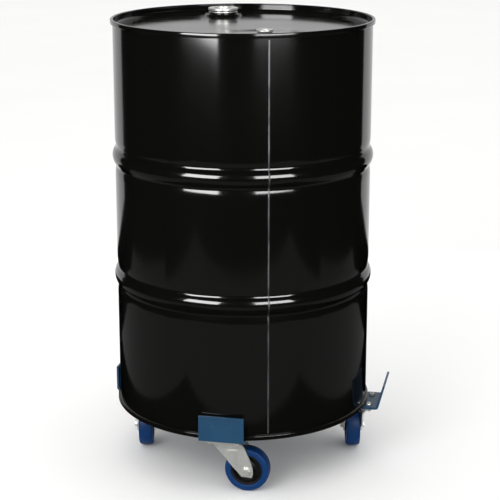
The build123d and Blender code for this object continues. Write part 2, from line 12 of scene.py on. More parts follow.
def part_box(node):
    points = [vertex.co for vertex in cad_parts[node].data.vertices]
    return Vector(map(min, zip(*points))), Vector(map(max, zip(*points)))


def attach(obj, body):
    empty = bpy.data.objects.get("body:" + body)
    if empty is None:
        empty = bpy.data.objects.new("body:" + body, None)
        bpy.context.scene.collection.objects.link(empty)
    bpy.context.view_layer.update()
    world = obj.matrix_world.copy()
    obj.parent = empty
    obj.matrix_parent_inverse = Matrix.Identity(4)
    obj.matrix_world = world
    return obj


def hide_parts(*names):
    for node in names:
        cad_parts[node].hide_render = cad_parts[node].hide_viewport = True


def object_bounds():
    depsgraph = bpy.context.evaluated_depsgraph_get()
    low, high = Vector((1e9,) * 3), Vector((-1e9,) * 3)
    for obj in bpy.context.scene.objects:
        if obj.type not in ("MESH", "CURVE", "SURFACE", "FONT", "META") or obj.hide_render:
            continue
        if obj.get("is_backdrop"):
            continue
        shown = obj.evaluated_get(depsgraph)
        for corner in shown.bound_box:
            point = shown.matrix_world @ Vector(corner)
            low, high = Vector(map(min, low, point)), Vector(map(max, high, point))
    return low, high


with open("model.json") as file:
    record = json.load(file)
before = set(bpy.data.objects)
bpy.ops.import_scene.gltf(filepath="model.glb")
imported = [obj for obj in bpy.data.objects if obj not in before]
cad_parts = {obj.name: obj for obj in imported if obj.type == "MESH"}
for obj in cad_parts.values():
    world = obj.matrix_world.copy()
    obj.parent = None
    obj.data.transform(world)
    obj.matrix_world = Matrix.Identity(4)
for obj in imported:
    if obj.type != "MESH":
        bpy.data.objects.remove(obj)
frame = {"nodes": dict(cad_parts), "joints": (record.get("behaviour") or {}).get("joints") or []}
cad_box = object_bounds()
MM = 0.001

# ---------------------------------------------------------------- drum body
# The wall of the drum: one sheet of 1 mm cold-rolled steel, rolled round and seam-welded, with two
# rolling hoops swaged out of it. Stoved black gloss enamel covers it inside the seams and out.

SHEET = 1.0 * MM
LAYER = 1.667 * MM  # one layer of the double seam, steel and sealing compound
SEAM_HEIGHT = 10 * MM
GROOVE_RADIUS, CREST_RADIUS, BLEND_RADIUS = 13 * MM, 26 * MM, 95 * MM
GROOVE_DEPTH, HOOP_RISE = 1.9 * MM, 6 * MM
HOOP_SPACING = 275 * MM
HOOK_BEND, HOOK_SHORT = 1.2 * MM, 4 * MM  # body edge folded out into the double seam
ROUND_STEPS = 288

low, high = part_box("drum_shell")
drum_x, drum_y = (low.x + high.x) / 2, (low.y + high.y) / 2
bar_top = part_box("drum_base")[0].z
rim_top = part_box("drum_head")[1].z
rim_radius = (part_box("drum_head")[1].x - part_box("drum_head")[0].x) / 2
wall_mid = rim_radius - 3 * LAYER - SHEET / 2


def tone(code):
    """Linear colour of an sRGB hex value."""
    parts = [int(code[i : i + 2], 16) / 255 for i in (1, 3, 5)]
    return [p / 12.92 if p <= 0.04045 else ((p + 0.055) / 1.055) ** 2.4 for p in parts] + [1.0]


def put(tree, kind, values=None, links=None, **settings):
    """Adds a node with its own settings, its socket values and its links."""
    node = tree.nodes.new(kind)
    for name, value in settings.items():
        setattr(node, name, value)
    for socket, value in (values or {}).items():
        node.inputs[socket].default_value = value
    for socket, source in (links or {}).items():
        tree.links.new(source, node.inputs[socket])
    return node


def finish_named(name, **constants):
    """New material; returns it, its tree, its shader and its object coordinates."""
    material = bpy.data.materials.new(name)
    material.use_nodes = True
    tree = material.node_tree
    shader = tree.nodes["Principled BSDF"]
    for socket, value in constants.items():
        shader.inputs[socket.replace("_", " ")].default_value = value
    return material, tree, shader, put(tree, "ShaderNodeTexCoord").outputs["Object"]


def grain(tree, coords, size, detail=2.0, stretch=(1, 1, 1), **values):
    """Noise whose features are about size metres across."""
    spread = put(tree, "ShaderNodeMapping", {"Scale": stretch}, {"Vector": coords})
    noise = put(
        tree,
        "ShaderNodeTexNoise",
        {"Scale": 1 / size, "Detail": detail, **values},
        {"Vector": spread.outputs["Vector"]},
    )
    return noise.outputs["Fac"]


def between(tree, source, low_in, high_in, low_out, high_out):
    """Source from one range to another, held at its ends."""
    node = put(
        tree,
        "ShaderNodeMapRange",
        {"From Min": low_in, "From Max": high_in, "To Min": low_out, "To Max": high_out},
        {"Value": source},
    )
    return node.outputs["Result"]


def blended(tree, share, first, second):
    """Colour between two others."""
    node = put(tree, "ShaderNodeMix", data_type="RGBA")
    tree.links.new(share, node.inputs[0])
    for socket, value in ((node.inputs[6], first), (node.inputs[7], second)):
        if isinstance(value, str):
            socket.default_value = tone(value)
        else:
            tree.links.new(value, socket)
    return node.outputs[2]


def swelling(tree, shader, *heights):
    """Bumps of (height, metres) stacked under the shader's normal."""
    normal = None
    for height, depth in heights:
        bump = put(tree, "ShaderNodeBump", {"Distance": depth}, {"Height": height})
        if normal:
            tree.links.new(normal, bump.inputs["Normal"])
        normal = bump.outputs["Normal"]
    tree.links.new(normal, shader.inputs["Normal"])


# Stoved alkyd enamel, sprayed: a wet-looking black with a slight orange peel, a film of dust on
# what faces up, and faint wiping smears down the wall.
enamel, tree, shader, coords = finish_named("black_stoved_enamel", IOR=1.5)
normal = put(tree, "ShaderNodeNewGeometry").outputs["Normal"]
facing = put(tree, "ShaderNodeSeparateXYZ", None, {0: normal})
upward = between(tree, facing.outputs["Z"], 0.6, 1.0, 0.0, 1.0)
dust = put(
    tree,
    "ShaderNodeMath",
    None,
    {0: upward, 1: between(tree, grain(tree, coords, 30 * MM, 6), 0.42, 0.75, 0.006, 0.016)},
    operation="MULTIPLY",
).outputs["Value"]
tree.links.new(blended(tree, dust, "#0a0a09", "#b9b4aa"), shader.inputs["Base Color"])
smear = between(tree, grain(tree, coords, 120 * MM, 4, (1, 1, 0.25)), 0.35, 0.7, 0.085, 0.125)
tree.links.new(
    put(tree, "ShaderNodeMath", None, {0: smear, 1: dust}, operation="ADD").outputs["Value"],
    shader.inputs["Roughness"],
)
swelling(
    tree,
    shader,
    (grain(tree, coords, 60 * MM, 1), 0.05 * MM),
    (grain(tree, coords, 3.5 * MM, 2), 0.006 * MM),
)


def arc(centre_r, centre_z, radius, start, end, steps):
    """Points round a centre from one angle to another, in degrees."""
    turns = [radians(start + (end - start) * i / steps) for i in range(steps + 1)]
    return [(centre_r + radius * cos(t), centre_z + radius * sin(t)) for t in turns]


def rounded(corners, radius, steps=8):
    """Path through corners with each inner one turned to an arc."""
    path = [corners[0]]
    for before, here, after in zip(corners, corners[1:], corners[2:]):
        a = Vector(before) - Vector(here)
        b = Vector(after) - Vector(here)
        half = a.angle(b) / 2
        back = radius / tan(half)
        middle = Vector(here) + (a.normalized() + b.normalized()).normalized() * radius / sin(half)
        start = Vector(here) + a.normalized() * back - middle
        end = Vector(here) + b.normalized() * back - middle
        sweep = start.angle_signed(end)
        for i in range(steps + 1):
            path.append(tuple(middle + Matrix.Rotation(-sweep * i / steps, 2) @ start))
    return path + [corners[-1]]


turn_down = acos(1 - (HOOP_RISE + GROOVE_DEPTH) / (CREST_RADIUS + GROOVE_RADIUS)) * 180 / pi
turn_in = acos(1 - GROOVE_DEPTH / (BLEND_RADIUS + GROOVE_RADIUS)) * 180 / pi
groove_reach = (CREST_RADIUS + GROOVE_RADIUS) * sin(radians(turn_down))
hoop_half = groove_reach + (BLEND_RADIUS + GROOVE_RADIUS) * sin(radians(turn_in))
middle_z = (bar_top + rim_top) / 2
hoops = [middle_z - HOOP_SPACING / 2, middle_z + HOOP_SPACING / 2]


def hoop_line(z, out=0.0):
    """Wall through one rolling hoop, bottom to top, shifted out from mid-sheet."""
    crest = wall_mid + HOOP_RISE - CREST_RADIUS
    groove = wall_mid - GROOVE_DEPTH + GROOVE_RADIUS
    path = []
    lower = arc(wall_mid - BLEND_RADIUS, z - hoop_half, BLEND_RADIUS + out, 0, turn_in, 5)
    path += lower
    path += arc(groove, z - groove_reach, GROOVE_RADIUS - out, 180 + turn_in, 180 - turn_down, 12)[1:]
    path += arc(crest, z, CREST_RADIUS + out, -turn_down, turn_down, 24)[1:]
    path += arc(groove, z + groove_reach, GROOVE_RADIUS - out, 180 + turn_down, 180 - turn_in, 12)[1:]
    path += arc(wall_mid - BLEND_RADIUS, z + hoop_half, BLEND_RADIUS + out, -turn_in, 0, 5)[1:]
    return path


def wall_line(bottom, top, out=0.0, pitch=55 * MM):
    """Wall from bottom to top through both hoops."""
    path = [(wall_mid + out, bottom)]
    for z in hoops + [None]:
        target = top if z is None else z - hoop_half
        count = max(1, round((target - path[-1][1]) / pitch))
        first = path[-1][1]
        path += [(wall_mid + out, first + (target - first) * i / count) for i in range(1, count + 1)]
        if z is not None:
            path += hoop_line(z, out)[1:]
    return path


def shown(name, mesh, material, slot, body, *nodes):
    """Object for a mesh: smooth but for its sharp edges, in its finish, riding and standing for CAD."""
    mesh.materials.clear()
    mesh.materials.append(material)
    mesh.shade_smooth()
    mesh.set_sharp_from_angle(angle=radians(35))
    piece = bpy.data.objects.new(name, mesh)
    bpy.context.scene.collection.objects.link(piece)
    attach(piece, body)
    if nodes:
        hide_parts(*nodes)
    return piece


def meshed(bm, name):
    """Plain mesh of a bmesh, which is then freed."""
    mesh = bpy.data.meshes.new(name)
    bm.to_mesh(mesh)
    bm.free()
    return mesh


def spun(name, path, place, steps=ROUND_STEPS, ring=False, turn=(0, 360)):
    """Mesh of a (radius, height) path turned about place's Z axis; ring joins the path's ends."""
    bm = bmesh.new()
    whole = turn[1] - turn[0] == 360
    count = steps if whole else steps + 1
    columns = []
    for i in range(count):
        t = radians(turn[0] + (turn[1] - turn[0]) * i / steps)
        columns.append([bm.verts.new(place @ Vector((r * cos(t), r * sin(t), z))) for r, z in path])
    size = len(path)
    for i in range(count if whole else count - 1):
        here, after = columns[i], columns[(i + 1) % count]
        for k in range(size if ring else size - 1):
            bm.faces.new((here[k], after[k], after[(k + 1) % size], here[(k + 1) % size]))
    bmesh.ops.remove_doubles(bm, verts=bm.verts, dist=1e-7)
    bmesh.ops.dissolve_degenerate(bm, edges=bm.edges, dist=1e-8)
    if ring:
        bmesh.ops.recalc_face_normals(bm, faces=bm.faces)
    return meshed(bm, name)


def thick(piece, amount):
    """Gives a mid-sheet surface its gauge."""
    wall = piece.modifiers.new("gauge", "SOLIDIFY")
    wall.thickness, wall.offset, wall.use_even_offset = amount, 0, True
    return piece


drum_place = Matrix.Translation((drum_x, drum_y, 0))
turn_low = bar_top + SHEET / 2 + LAYER
turn_high = rim_top - SHEET / 2 - LAYER
hook_radius = wall_mid + 2 * LAYER
path = [(hook_radius, turn_low + SEAM_HEIGHT - HOOK_SHORT), (hook_radius, turn_low)]
path += [(wall_mid, turn_low), (wall_mid, turn_low + SEAM_HEIGHT)]
wall = rounded(path, HOOK_BEND) + wall_line(turn_low + SEAM_HEIGHT, turn_high - SEAM_HEIGHT)[1:]
path = [(wall_mid, turn_high - SEAM_HEIGHT), (wall_mid, turn_high), (hook_radius, turn_high)]
wall += rounded(path + [(hook_radius, turn_high - SEAM_HEIGHT + HOOK_SHORT)], HOOK_BEND)[1:]
body = shown("drum_body", spun("drum_body", wall, drum_place), enamel, "black_enamel", "drum", "drum_shell")
thick(body, SHEET)

# ---------------------------------------------------------------- drum head and base
# Two pressed ends of the same sheet, curled over the body's edge into double seams. The head has a
# raised boss round each bung, with the metal drawn up into a collar against the neck; round the
# small one the panel swells softly.

HEAD_RECESS, BASE_RECESS, PANEL_BEND = 19 * MM, 16 * MM, 8 * MM
SEAM_BEND, SEAM_GAP = 1.6 * MM, 0.667 * MM
BOSS_RISE, BOSS_BEND, COLLAR_HEIGHT = 5 * MM, 1.5 * MM, 4 * MM
FLAT_RADIUS = 272 * MM  # outside of the nearly flat part of the head
EDGE_EASE, SWELL_REACH = 45 * MM, 80 * MM
SMALL_LAND, LARGE_PATCH = 36 * MM, 50 * MM  # holes in the panel that the bosses fill
LARGE_LAND, LARGE_FOOT = 7.5 * MM, 12 * MM  # out from the neck
PANEL_PITCH, BOSS_STEPS = 7 * MM, 96

head_z = rim_top - HEAD_RECESS - SHEET / 2
base_z = bar_top + BASE_RECESS + SHEET / 2
chuck_radius = wall_mid - SHEET
cover_radius = wall_mid + LAYER
outer_radius = rim_radius - SHEET / 2


def end_line(start_radius, panel_z, rim_z, up):
    """Half section of a drum end: panel, chuck wall, over the seam and tucked under."""
    middle = rim_z - up * SEAM_HEIGHT / 2
    over, under = rim_z - up * SHEET / 2, rim_z - up * (SEAM_HEIGHT - SHEET / 2)
    tuck = over - up * (LAYER + SHEET / 2 + SEAM_GAP)
    path = rounded([(start_radius, panel_z), (chuck_radius, panel_z), (chuck_radius, middle)], PANEL_BEND, 14)
    over_seam = [(chuck_radius, middle), (chuck_radius, over), (outer_radius, over), (outer_radius, middle)]
    under_seam = [(outer_radius, middle), (outer_radius, under), (cover_radius, under), (cover_radius, tuck)]
    path += rounded(over_seam, SEAM_BEND, 10)[1:] + rounded(under_seam, HOOK_BEND, 8)[1:]
    return path


base = shown(
    "drum_bottom_end",
    spun("drum_bottom_end", end_line(0, base_z, bar_top, -1), drum_place),
    enamel,
    "black_enamel",
    "drum",
    "drum_base",
)
thick(base, SHEET)

bungs = {}
for size in ("small", "large"):
    low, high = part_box(f"{size}_bung_flange")
    neck = (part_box(f"{size}_plug_gasket")[1].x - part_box(f"{size}_plug_gasket")[0].x) / 2
    bungs[size] = ((low.x + high.x) / 2, (low.y + high.y) / 2, neck, high.z)

boss_z = head_z + BOSS_RISE
collar_top = boss_z + SHEET / 2 + COLLAR_HEIGHT
small_x, small_y, small_neck, _ = bungs["small"]
large_x, large_y, large_neck, _ = bungs["large"]


def swell(x, y):
    """Height of the panel above its flat round the small bung, easing out to nothing at the edge."""
    away = max(0.0, hypot(x - small_x, y - small_y) - SMALL_LAND)
    edge = min(1.0, max(0.0, (FLAT_RADIUS - hypot(x - drum_x, y - drum_y)) / EDGE_EASE))
    return BOSS_RISE * exp(-((away / SWELL_REACH) ** 2)) * edge * edge * (3 - 2 * edge)


def circle(x, y, radius, steps):
    """Points round a circle."""
    turns = [2 * pi * i / steps for i in range(steps)]
    return [(x + radius * cos(t), y + radius * sin(t)) for t in turns]


def outside(x, y, room):
    """Whether a point is clear of both bosses by this much."""
    small_gap = hypot(x - small_x, y - small_y) - SMALL_LAND
    return min(small_gap, hypot(x - large_x, y - large_y) - LARGE_PATCH) > room


loops = [
    circle(drum_x, drum_y, FLAT_RADIUS, ROUND_STEPS),
    circle(small_x, small_y, SMALL_LAND, BOSS_STEPS),
    circle(large_x, large_y, LARGE_PATCH, BOSS_STEPS),
]
points, fixed = [], []
for loop in loops:
    first, size = len(points), len(loop)
    points += [Vector(c) for c in loop]
    fixed += [(first + i, first + (i + 1) % size) for i in range(size)]
reach = int(FLAT_RADIUS / PANEL_PITCH) + 1
room = PANEL_PITCH * 0.6
for i in range(-reach, reach + 1):
    for j in range(-reach, reach + 1):
        x, y = drum_x + (i + j % 2 / 2) * PANEL_PITCH, drum_y + j * PANEL_PITCH
        if hypot(x - drum_x, y - drum_y) < FLAT_RADIUS - room and outside(x, y, room):
            points.append(Vector((x, y)))
flat, _, triangles = delaunay_2d_cdt(points, fixed, [], 0, 1e-7)[:3]
bm = bmesh.new()
spots = [bm.verts.new((v.x, v.y, head_z + swell(v.x, v.y))) for v in flat]
for corners in triangles:
    x, y = (sum(flat[c][k] for c in corners) / 3 for k in (0, 1))
    if outside(x, y, -0.03 * MM):
        bm.faces.new([spots[c] for c in corners])
bm.from_mesh(spun("head_rim", end_line(FLAT_RADIUS, head_z, rim_top, 1), drum_place))
path = [(SMALL_LAND, boss_z), (small_neck + SHEET / 2, boss_z), (small_neck + SHEET / 2, collar_top)]
place = Matrix.Translation((small_x, small_y, 0))
bm.from_mesh(spun("small_boss", rounded(path, BOSS_BEND)[::-1], place, BOSS_STEPS))
land, foot = large_neck + LARGE_LAND, large_neck + LARGE_FOOT
path = [(LARGE_PATCH, head_z), (foot, head_z), (land, boss_z), (large_neck + SHEET / 2, boss_z)]
path = rounded(path + [(large_neck + SHEET / 2, collar_top)], BOSS_BEND)
place = Matrix.Translation((large_x, large_y, 0))
bm.from_mesh(spun("large_boss", path[::-1], place, BOSS_STEPS))
bmesh.ops.remove_doubles(bm, verts=bm.verts, dist=1e-6)
bmesh.ops.recalc_face_normals(bm, faces=bm.faces)
if sum(f.normal.z * f.calc_area() for f in bm.faces) < 0:
    bmesh.ops.reverse_faces(bm, faces=bm.faces)
mesh = meshed(bm, "drum_top_end")
head = shown("drum_top_end", mesh, enamel, "black_enamel", "drum", "drum_head")
thick(head, SHEET)

# ---------------------------------------------------------------- side weld and seam sealant
# A resistance seam weld runs down the wall between the seams, left proud and only thinly lacquered,
# so it shows as a dull silver line. Sealing compound fills the folds of both double seams.

WELD_AZIMUTH, WELD_WIDTH, WELD_RISE = 22.6, 3.6 * MM, 0.6 * MM

weld_metal, tree, shader, coords = finish_named("lacquered_seam_weld", Metallic=1.0)
ripple = grain(tree, coords, 2.2 * MM, 2)
patches = between(tree, grain(tree, coords, 25 * MM, 3, (1, 1, 0.5)), 0.35, 0.65, 0, 1)
tree.links.new(blended(tree, patches, "#424245", "#6a6a6c"), shader.inputs["Base Color"])
tree.links.new(between(tree, ripple, 0.3, 0.7, 0.42, 0.6), shader.inputs["Roughness"])
swelling(tree, shader, (ripple, 0.12 * MM))

weld_low, weld_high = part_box("side_weld")[0].z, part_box("side_weld")[1].z
# across in widths and up in rises, so the bead has a flat foot and a round back
outline = [(-0.5, -0.3), (-0.5, 0.15), (-0.42, 0.42), (-0.28, 0.78), (-0.1, 1.0)]
outline += [(-u, h) for u, h in outline[::-1]]
bm = bmesh.new()
levels = []
for r, z in wall_line(weld_low, weld_high, SHEET / 2, 6 * MM):
    beat = 1 - 0.12 * (1 + sin(z * 1900)) * (0.6 + 0.4 * sin(z * 310))  # 3.3 mm and 20 mm waves
    loop = []
    for across, up in outline:
        t = radians(WELD_AZIMUTH) + across * WELD_WIDTH / rim_radius
        reach = r + WELD_RISE * up * (beat if up > 0.5 else 1)
        loop.append(bm.verts.new((drum_x + reach * sin(t), drum_y - reach * cos(t), z)))
    levels.append(loop)
count = len(outline)
for lower, upper in zip(levels, levels[1:]):
    for k in range(count):
        bm.faces.new((lower[k], lower[(k + 1) % count], upper[(k + 1) % count], upper[k]))
bm.faces.new(levels[0])
bm.faces.new(levels[-1])
bmesh.ops.recalc_face_normals(bm, faces=bm.faces)
mesh = meshed(bm, "side_seam_weld")
shown("side_seam_weld", mesh, weld_metal, "weld_line", "drum", "side_weld")

compound, tree, shader, coords = finish_named("seam_compound", Roughness=0.7)
tree.links.new(
    blended(tree, grain(tree, coords, 4 * MM, 3), "#6f6a5e", "#8f8a7c"), shader.inputs["Base Color"]
)
swelling(tree, shader, (grain(tree, coords, 1.5 * MM), 0.1 * MM))


def refinish(material, *names):
    """Gives CAD nodes that keep their shape a finished material."""
    for name in names:
        for holder in frame["nodes"][name].material_slots:
            holder.material = material


refinish(compound, "top_seam_sealant", "bottom_seam_sealant")

# ---------------------------------------------------------------- bungs
# Two threaded steel flanges are pressed under the head, their necks standing in the collars. A
# zinc-plated plug with a rubber gasket closes each; its socket has two lugs for a bung key.

PLUG_EDGE, SKIRT_WALL, THREAD_PLAY = 1.2 * MM, 2.5 * MM, 0.3 * MM
SUNK = 0.4 * MM  # lugs into the socket wall and floor

# Bright zinc plate over pressed or turned steel: pale, slightly cloudy, with soft-edged blotches
# from the passivating dip and a faint drawing texture.
zinc, tree, shader, coords = finish_named("bright_zinc_plate", Metallic=0.7)
cloud = between(tree, grain(tree, coords, 14 * MM, 5), 0.35, 0.68, 0, 1)
speck = between(tree, grain(tree, coords, 1.6 * MM, 2), 0.45, 0.75, 0, 0.5)
tint = blended(tree, cloud, "#e2e3df", "#d2d3cf")
tree.links.new(blended(tree, speck, tint, "#b6b6b0"), shader.inputs["Base Color"])
tree.links.new(between(tree, cloud, 0, 1, 0.34, 0.46), shader.inputs["Roughness"])
swelling(tree, shader, (grain(tree, coords, 0.9 * MM, 3), 0.02 * MM))

# Black nitrile rubber, moulded and dusty: matt, with a grain too fine to see but for its sheen.
rubber, tree, shader, coords = finish_named("nitrile_gasket", IOR=1.5)
tree.links.new(
    blended(tree, grain(tree, coords, 5 * MM, 4), "#141414", "#242321"), shader.inputs["Base Color"]
)
tree.links.new(
    between(tree, grain(tree, coords, 2 * MM), 0.3, 0.7, 0.55, 0.75), shader.inputs["Roughness"]
)
swelling(tree, shader, (grain(tree, coords, 0.8 * MM), 0.05 * MM))

refinish(zinc, "large_bung_flange", "small_bung_flange")
refinish(rubber, "large_flange_gasket", "small_flange_gasket", "large_plug_gasket", "small_plug_gasket")

for size, socket, lug, bore in (
    ("large", 21 * MM, 9 * MM, 29 * MM),
    ("small", 8.5 * MM, 4.5 * MM, 12.8 * MM),
):
    x, y = bungs[size][:2]
    low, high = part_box(f"{size}_bung_plug")
    cap_radius = (high.x - low.x) / 2
    cap_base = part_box(f"{size}_plug_gasket")[1].z
    floor_z = low.z + SKIRT_WALL
    path = [(0, floor_z), (socket, floor_z), (socket, high.z), (cap_radius, high.z), (cap_radius, cap_base)]
    path += [(bore - THREAD_PLAY, cap_base), (bore - THREAD_PLAY, low.z), (0, low.z)]
    outline = rounded(path[:3], 0.8 * MM, 4)[:-1] + rounded(path[1:4], 0.9 * MM, 4)[1:-1]
    outline += rounded(path[2:5], PLUG_EDGE, 6)[1:-1] + rounded(path[3:6], 0.5 * MM, 3)[1:-1]
    outline += rounded(path[4:8], 0.5 * MM, 3)[1:]
    bm = bmesh.new()
    bm.from_mesh(spun("plug", outline, Matrix.Translation((x, y, 0)), BOSS_STEPS))
    for side in (-1, 1):
        made = bmesh.ops.create_cube(bm, size=1)["verts"]
        reach = lug * 0.8
        for v in made:
            shape = Vector((v.co.x * reach, v.co.y * lug, v.co.z * (cap_base - floor_z + SUNK)))
            v.co = Vector((x + side * (socket - reach / 2 + SUNK), y, (floor_z + cap_base) / 2)) + shape
        edges = list({e for v in made for e in v.link_edges})
        bmesh.ops.bevel(bm, geom=edges, offset=0.6 * MM, segments=3, affect="EDGES", profile=0.5)
    bmesh.ops.recalc_face_normals(bm, faces=bm.faces)
    mesh = meshed(bm, f"{size}_plug")
    shown(f"{size}_plug_body", mesh, zinc, "zinc_plate", f"{size}_plug", f"{size}_bung_plug")

# ---------------------------------------------------------------- dolly bars
# Cut lengths of 100 x 5 mm flat bar, bent up at the ends to hold the drum's rim. The long one runs
# through; the two half bars butt against it and are welded, then all is powder coated blue-grey.

BAR_WIDTH, BAR, BAR_BEND, EASED_EDGE = 100 * MM, 5 * MM, 5 * MM, 0.7 * MM
FLARE = radians(15)

# Polyester powder coat: satin, blue-grey, with a fine even stipple and a few pale scuffs.
paint, tree, shader, coords = finish_named("blue_grey_powder_coat", IOR=1.5, Specular_IOR_Level=0.35)
wear = between(tree, grain(tree, coords, 18 * MM, 6, Roughness=0.65), 0.62, 0.78, 0, 0.35)
drift = between(tree, grain(tree, coords, 70 * MM, 3), 0.35, 0.65, 0, 1)
body_tone = blended(tree, drift, "#0f3b59", "#154565")
tree.links.new(blended(tree, wear, body_tone, "#5d7b95"), shader.inputs["Base Color"])
tree.links.new(between(tree, wear, 0, 0.35, 0.36, 0.52), shader.inputs["Roughness"])
swelling(tree, shader, (grain(tree, coords, 1.1 * MM, 2), 0.05 * MM))

long_low, long_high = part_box("long_bar")
front_low, front_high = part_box("front_bar")
bar_z = (bar_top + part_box("front_plate")[1].z) / 2
dolly_x, dolly_y = (front_low.x + front_high.x) / 2, (long_low.y + long_high.y) / 2
corner = dolly_y - front_low.y - BAR / 2
upright = front_high.z - bar_z


def bent_bar(name, line, angle, node):
    """Flat bar bent along a (reach, height) line, standing at angle about the dolly's middle."""
    path = rounded(line, BAR_BEND, 10)
    left, right = [], []
    for i, (r, z) in enumerate(path):
        before, after = path[max(i - 1, 0)], path[min(i + 1, len(path) - 1)]
        along = (Vector(after) - Vector(before)).normalized()
        normal = Vector((-along.y, along.x)) * BAR / 2
        left.append((r + normal.x, z + normal.y))
        right.append((r - normal.x, z - normal.y))
    outline = left + right[::-1]
    place = Matrix.Translation((dolly_x, dolly_y, 0)) @ Matrix.Rotation(angle, 4, "Z")
    bm = bmesh.new()
    sides = [[bm.verts.new(place @ Vector((r, s * BAR_WIDTH / 2, z))) for r, z in outline] for s in (-1, 1)]
    size, half = len(outline), len(left)
    for k in range(size):
        bm.faces.new((sides[0][k], sides[0][(k + 1) % size], sides[1][(k + 1) % size], sides[1][k]))
    for side in sides:
        for k in range(half - 1):
            bm.faces.new((side[k], side[k + 1], side[size - 2 - k], side[size - 1 - k]))
    bmesh.ops.recalc_face_normals(bm, faces=bm.faces)
    mesh = meshed(bm, name)
    piece = shown(name, mesh, paint, "blue_paint", "dolly", node)
    edge = piece.modifiers.new("eased edges", "BEVEL")
    edge.width, edge.segments = EASED_EDGE, 3
    edge.limit_method, edge.angle_limit = "ANGLE", radians(40)
    edge.harden_normals = True
    return piece


flared = (corner + upright * sin(FLARE), bar_z + upright * cos(FLARE))
square = (corner, bar_z + upright)
bent_bar("through_bar", [(-corner, square[1]), (-corner, bar_z), (corner, bar_z), flared], 0, "long_bar")
bent_bar("front_half_bar", [(BAR_WIDTH / 2, bar_z), (corner, bar_z), square], -pi / 2, "front_bar")
bent_bar("back_half_bar", [(BAR_WIDTH / 2, bar_z), (corner, bar_z), flared], pi / 2, "back_bar")
refinish(paint, "centre_welds")

# ---------------------------------------------------------------- caster fasteners and plates
# Each caster's pressed top plate is held up by four M8 button-head screws through the bar, with
# plain hexagon nuts below. All are bright zinc plated.

BOLT_RADIUS, HEAD_RADIUS, HEAD_HEIGHT, HEAD_RIM = 4 * MM, 7 * MM, 4.4 * MM, 0.8 * MM
PITCH_LONG, PITCH_WIDE, SOCKET_AF = 75 * MM, 60 * MM, 5 * MM
NUT_AF, SCREW_TIP, NUT_CHAMFER = 13 * MM, 0.6 * MM, 0.5 * MM

# Bare hardened steel for the swivel's balls, wet with grease.
steel, tree, shader, coords = finish_named("greased_bearing_steel", Metallic=1.0)
tree.links.new(blended(tree, grain(tree, coords, 3 * MM), "#8e8c88", "#b4b2ac"), shader.inputs["Base Color"])
tree.links.new(between(tree, grain(tree, coords, 2 * MM), 0.3, 0.7, 0.12, 0.3), shader.inputs["Roughness"])

arms = {"front": -90, "right": 0, "back": 90, "left": 180}
nut_low, nut_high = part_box("caster_nuts")[0].z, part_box("caster_nuts")[1].z
bolt_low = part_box("caster_bolts")[0].z
spots = []
for arm, angle in arms.items():
    low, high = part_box(f"{arm}_plate")
    at = Matrix.Translation(((low.x + high.x) / 2, (low.y + high.y) / 2, 0))
    at = at @ Matrix.Rotation(radians(angle), 4, "Z")
    spots += [at @ Vector((i * PITCH_LONG / 2, j * PITCH_WIDE / 2, 0)) for i in (-1, 1) for j in (-1, 1)]


def hexagon(bm, across, z):
    """Six corners of a hexagon this far across its flats."""
    reach = across / 2 / cos(pi / 6)
    return [bm.verts.new((reach * cos(k * pi / 3), reach * sin(k * pi / 3), z)) for k in range(6)]


# one screw, with its socket's six walls stitched to the ring round it
dome = [(SOCKET_AF / 2 / cos(pi / 6) + 0.25 * MM, HEAD_HEIGHT)] + [
    (HEAD_RADIUS * a, HEAD_RIM + (HEAD_HEIGHT - HEAD_RIM) * b)
    for a, b in ((0.53, 0.985), (0.66, 0.92), (0.78, 0.8), (0.88, 0.6), (0.95, 0.35), (0.99, 0.12), (1, 0))
]
dome += [(HEAD_RADIUS, 0.15 * MM), (HEAD_RADIUS - 0.15 * MM, 0), (BOLT_RADIUS, 0)]
tip = bolt_low - bar_top
dome += [(BOLT_RADIUS, tip + SCREW_TIP), (BOLT_RADIUS - SCREW_TIP, tip), (0, tip)]
bm = bmesh.new()
bm.from_mesh(spun("screw", dome, Matrix.Identity(4), 24))
rim = sorted(
    {v for e in bm.edges if e.is_boundary for v in e.verts}, key=lambda v: atan2(v.co.y, v.co.x) % (2 * pi)
)
top, floor = hexagon(bm, SOCKET_AF, HEAD_HEIGHT), hexagon(bm, SOCKET_AF, HEAD_HEIGHT * 0.4)
for k in range(6):
    n = (k + 1) % 6
    bm.faces.new((top[k], top[n], floor[n], floor[k]))
    for j in range(4):
        a, b = rim[4 * k + j], rim[(4 * k + j + 1) % 24]
        bm.faces.new((a, b, top[k]) if j < 2 else (a, b, top[n]))
    bm.faces.new((rim[4 * k + 2], top[n], top[k]))
bm.faces.new(floor)
bmesh.ops.recalc_face_normals(bm, faces=bm.faces)
screw_mesh = meshed(bm, "screw")

# one nut: chamfered hexagon with a plain hole
bm = bmesh.new()
nut_height = nut_high - nut_low
rings = []
for inset, z in (
    (NUT_CHAMFER, 0),
    (0, 0.6 * MM),
    (0, nut_height - 0.6 * MM),
    (NUT_CHAMFER, nut_height),
):
    rings.append(hexagon(bm, NUT_AF - 2 * inset, z))
for z in (nut_height, 0):
    turns = [k * pi / 3 for k in range(6)]
    rings.append([bm.verts.new((BOLT_RADIUS * cos(t), BOLT_RADIUS * sin(t), z)) for t in turns])
for lower, upper in zip(rings, rings[1:] + rings[:1]):
    for k in range(6):
        bm.faces.new((lower[k], lower[(k + 1) % 6], upper[(k + 1) % 6], upper[k]))
bmesh.ops.recalc_face_normals(bm, faces=bm.faces)
nut_mesh = meshed(bm, "nut")


